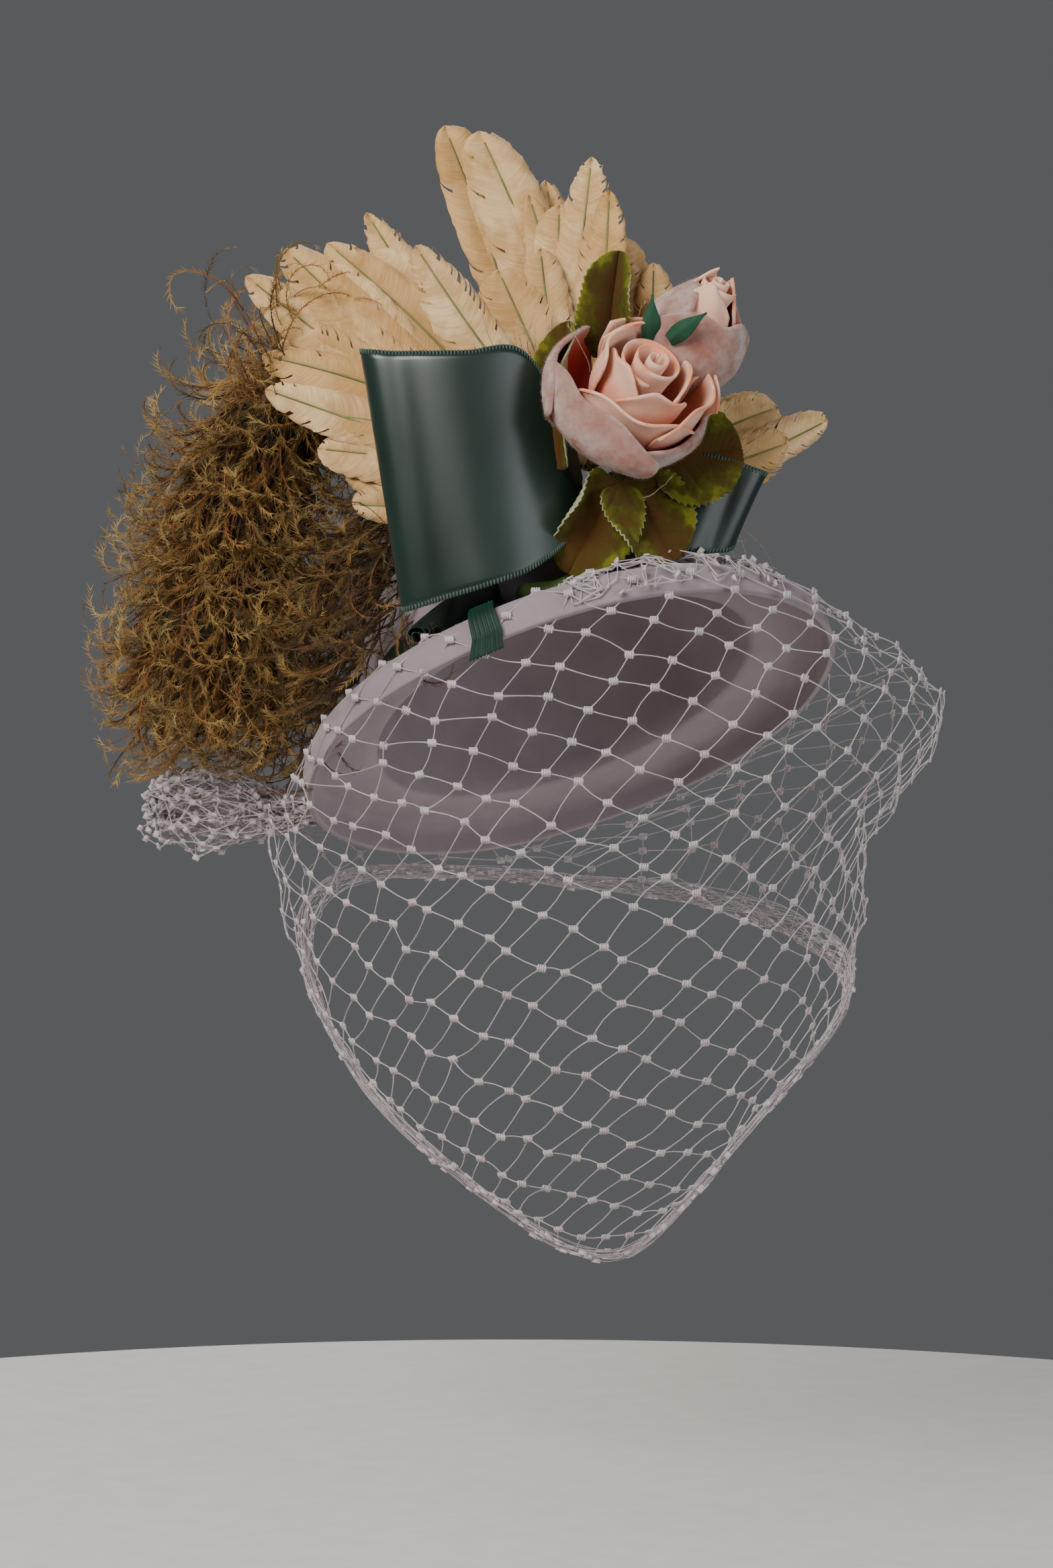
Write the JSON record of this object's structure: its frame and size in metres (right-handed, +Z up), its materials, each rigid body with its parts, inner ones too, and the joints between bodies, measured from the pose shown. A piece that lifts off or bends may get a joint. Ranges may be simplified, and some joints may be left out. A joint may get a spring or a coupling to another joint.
{
  "type": "tilt hat",
  "caption": "Felt tilt hat worn on the head, trimmed with a satin bow, velvet roses and leaves, feathers and a long net face veil.",
  "frame": {"origin": "inside top of the crown, where the hat sits on the head", "axes": "+Z up as worn, wearer's face towards -Y, +X to the right of a viewer who faces the wearer"},
  "size_m": [0.3014, 0.2745, 0.455],
  "materials": {
    "felt": "brushed wool felt",
    "net": "knotted net",
    "satin": "satin ribbon",
    "stem_cloth": "covered wire",
    "leaf_velvet": "pressed velvet",
    "petal_velvet": "crushed velvet",
    "sepal_cloth": "waxed cloth",
    "green_feather": "dyed feather",
    "cream_feather": "goose feather",
    "curled_feather": "curled feather barbs"
  },
  "bodies": {
    "root": {"felt_crown": "felt", "felt_brim": "felt", "veil": "net", "veil_gather": "net", "ribbon_band": "satin", "ribbon_roll": "satin", "bow_loop_left": "satin", "bow_loop_right": "satin", "flower_stem": "stem_cloth", "leaf_top": "leaf_velvet", "leaf_left": "leaf_velvet", "leaf_right": "leaf_velvet", "leaf_low_left": "leaf_velvet", "leaf_low_right": "leaf_velvet", "rose_heart": "petal_velvet", "rose_petal_left": "petal_velvet", "rose_petal_low": "petal_velvet", "rose_petal_right": "petal_velvet", "rose_petal_top": "petal_velvet", "bud_heart": "petal_velvet", "bud_petal_left": "petal_velvet", "bud_petal_low": "petal_velvet", "bud_petal_right": "petal_velvet", "sepal_left": "sepal_cloth", "sepal_right": "sepal_cloth", "green_feather_tip": "green_feather", "fan_left": "cream_feather", "fan_top": "cream_feather", "fan_right": "cream_feather", "curled_plume": "curled_feather"}
  },
  "joints": []
}
